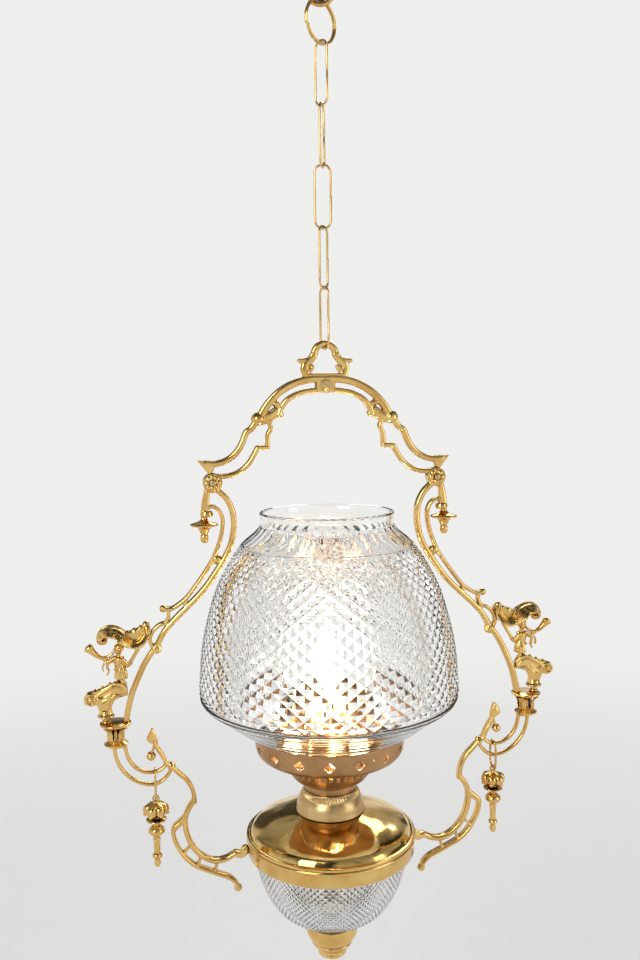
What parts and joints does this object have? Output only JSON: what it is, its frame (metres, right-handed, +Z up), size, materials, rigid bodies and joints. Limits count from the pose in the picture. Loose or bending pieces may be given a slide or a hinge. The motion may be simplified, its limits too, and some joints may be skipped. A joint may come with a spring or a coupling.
{
  "type": "pendant light",
  "caption": "Harp pendant lamp with a chain, scrolled cast sides, glass font and bowl, pierced gallery and a cut-glass shade.",
  "frame": {"origin": "on the hook shank's axis at the ceiling line", "axes": "+Z up along the shank, X along the width of the harp, front is -Y"},
  "size_m": [0.408, 0.221, 0.8829],
  "materials": {
    "polished_brass": "polished gold brass",
    "chain_brass": "polished drawn wire",
    "satin_brass": "satin brass",
    "gallery_bronze": "satin copper brown brass",
    "steel": "bright plated steel",
    "cut_glass": "clear cut glass",
    "bulb_glass": "lightly frosted glass",
    "filament": "glowing filament",
    "ceramic": "glazed ceramic",
    "cork": "pressed cork",
    "bush": "dark moulded bush"
  },
  "bodies": {
    "hook": {"ceiling_hook": "chain_brass"},
    "ring": {"split_ring": "chain_brass"},
    "link_1": {"chain_link_1": "chain_brass"},
    "link_2": {"chain_link_2": "chain_brass"},
    "link_3": {"chain_link_3": "chain_brass"},
    "link_4": {"chain_link_4": "chain_brass"},
    "link_5": {"chain_link_5": "chain_brass"},
    "frame": {"crest_loop": "polished_brass", "crest_saddle": "polished_brass", "saddle_screw": "satin_brass", "shoulder_left": "polished_brass", "shoulder_right": "polished_brass", "rosette_left": "polished_brass", "rosette_right": "polished_brass", "scroll_arm_left": "polished_brass", "scroll_arm_right": "polished_brass", "bell_left": "polished_brass", "bell_right": "polished_brass", "hood_left": "polished_brass", "hood_right": "polished_brass", "figure_left": "polished_brass", "figure_right": "polished_brass", "console_left": "polished_brass", "console_right": "polished_brass", "collar_left": "polished_brass", "collar_right": "polished_brass", "twin_bars_left": "polished_brass", "twin_bars_right": "polished_brass", "lower_arm_left": "polished_brass", "lower_arm_right": "polished_brass", "harp_screws": "satin_brass", "font_ring": "polished_brass", "ring_screws": "satin_brass", "font_bowl": "cut_glass", "font_dome": "polished_brass", "neck": "satin_brass", "burner_cup": "gallery_bronze", "gallery": "gallery_bronze", "bottom_finial": "polished_brass", "centre_tube": "steel", "tube_nuts": "steel", "bowl_washer": "cork", "inlet_bush": "bush", "lamp_holder": "satin_brass", "holder_insulator": "ceramic", "holder_contact": "satin_brass", "bulb_cap": "steel", "bulb_glass": "bulb_glass", "bulb_filament": "filament"},
    "shade": {"shade": "cut_glass"},
    "drop_left": {"drop_link_left": "chain_brass", "drop_left": "polished_brass"},
    "drop_right": {"drop_link_right": "chain_brass", "drop_right": "polished_brass"}
  },
  "joints": [
    {"name": "ring_swing", "type": "hinge", "parent": "hook", "child": "ring", "pos_m": [0, 0, -0.051], "axis": [0.9826, -0.1857, 0], "range_deg": [-20, 20]},
    {"name": "link_1_swing", "type": "hinge", "parent": "ring", "child": "link_1", "pos_m": [0, 0, -0.08125], "axis": [0.7955, 0.606, 0], "range_deg": [-20, 20]},
    {"name": "link_2_swing", "type": "hinge", "parent": "link_1", "child": "link_2", "pos_m": [0, 0, -0.12995], "axis": [0.5635, -0.8261, 0], "range_deg": [-15, 15]},
    {"name": "link_3_swing", "type": "hinge", "parent": "link_2", "child": "link_3", "pos_m": [0, 0, -0.179], "axis": [0.4337, 0.9011, 0], "range_deg": [-15, 15]},
    {"name": "link_4_swing", "type": "hinge", "parent": "link_3", "child": "link_4", "pos_m": [0, 0, -0.22805], "axis": [0.9826, -0.1857, 0], "range_deg": [-15, 15]},
    {"name": "link_5_swing", "type": "hinge", "parent": "link_4", "child": "link_5", "pos_m": [0, 0, -0.2771], "axis": [0.6521, 0.7581, 0], "range_deg": [-15, 15]},
    {"name": "frame_swing", "type": "hinge", "parent": "link_5", "child": "frame", "pos_m": [0, 0, -0.32615], "axis": [0.3305, -0.9438, 0], "range_deg": [-12, 12]},
    {"name": "shade_lift", "type": "slide", "parent": "frame", "child": "shade", "axis": [0, 0, 1], "range_m": [0, 0.005]},
    {"name": "drop_left_swing", "type": "hinge", "parent": "frame", "child": "drop_left", "pos_m": [-0.1485, 0, -0.67525], "axis": [1, 0, 0], "range_deg": [-16, 16]},
    {"name": "drop_right_swing", "type": "hinge", "parent": "frame", "child": "drop_right", "pos_m": [0.1485, 0, -0.67525], "axis": [1, 0, 0], "range_deg": [-16, 16]}
  ]
}
